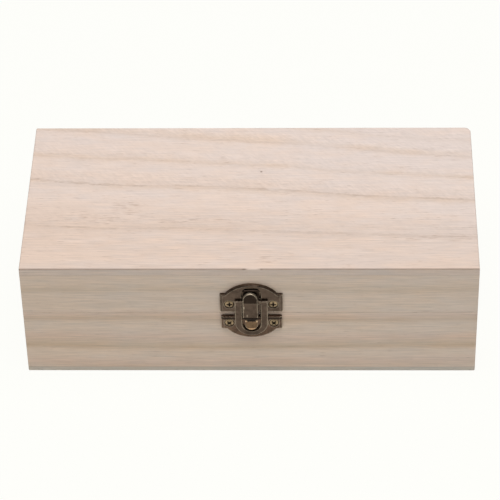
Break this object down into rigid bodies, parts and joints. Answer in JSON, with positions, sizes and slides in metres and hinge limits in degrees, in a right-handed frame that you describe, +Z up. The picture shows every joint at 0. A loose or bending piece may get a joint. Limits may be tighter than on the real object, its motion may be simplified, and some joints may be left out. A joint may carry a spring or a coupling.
{
  "type": "wooden storage box",
  "caption": "Plain paulownia storage box with a hinged lid, rebated corners and an antique bronze hasp latch with a flip lever on the front.",
  "frame": {"origin": "middle of the box's underside", "axes": "+X along the box's length, -Y out of the front with the latch, +Z up"},
  "size_m": [0.2, 0.1053, 0.0611],
  "materials": {
    "paulownia": "bare, sanded",
    "antique_bronze": "antique bronze plating",
    "worn_bronze": "antique bronze, rubbed bright",
    "hinge_bronze": "antique bronze plating",
    "screw_brass": "bronzed brass"
  },
  "bodies": {
    "base": {"base_front_wall": "paulownia", "base_rear_wall": "paulownia", "base_left_wall": "paulownia", "base_right_wall": "paulownia", "bottom_board": "paulownia", "latch_lower_plate": "antique_bronze", "latch_staple": "worn_bronze", "latch_lever_pin": "antique_bronze", "latch_lower_screws": "screw_brass", "hinge_base_screws": "screw_brass", "hinge_left_base_leaf": "hinge_bronze", "hinge_right_base_leaf": "hinge_bronze", "hinge_left_pin": "hinge_bronze", "hinge_right_pin": "hinge_bronze"},
    "lid": {"lid_front_wall": "paulownia", "lid_rear_wall": "paulownia", "lid_left_wall": "paulownia", "lid_right_wall": "paulownia", "lid_top_board": "paulownia", "latch_upper_plate": "antique_bronze", "latch_hasp_pin": "antique_bronze", "latch_upper_screws": "screw_brass", "hinge_lid_screws": "screw_brass", "hinge_left_lid_leaf": "hinge_bronze", "hinge_right_lid_leaf": "hinge_bronze"},
    "hasp": {"latch_hasp": "antique_bronze"},
    "lever": {"latch_lever": "antique_bronze"}
  },
  "joints": [
    {"name": "lid_hinge", "type": "hinge", "parent": "base", "child": "lid", "pos_m": [0, 0.0505, 0.03565], "axis": [-1, 0, 0], "range_deg": [0, 100]},
    {"name": "hasp_swing", "type": "hinge", "parent": "lid", "child": "hasp", "pos_m": [0.0008, -0.0499, 0.04925], "axis": [-1, 0, 0], "range_deg": [0, 105]},
    {"name": "lever_flip", "type": "hinge", "parent": "base", "child": "lever", "pos_m": [0.0008, -0.05185, 0.03385], "axis": [1, 0, 0], "range_deg": [0, 85]}
  ],
  "couplings": [
    {"joint": "lever_flip", "follows": "hasp_swing", "ratio": 0.8}
  ]
}
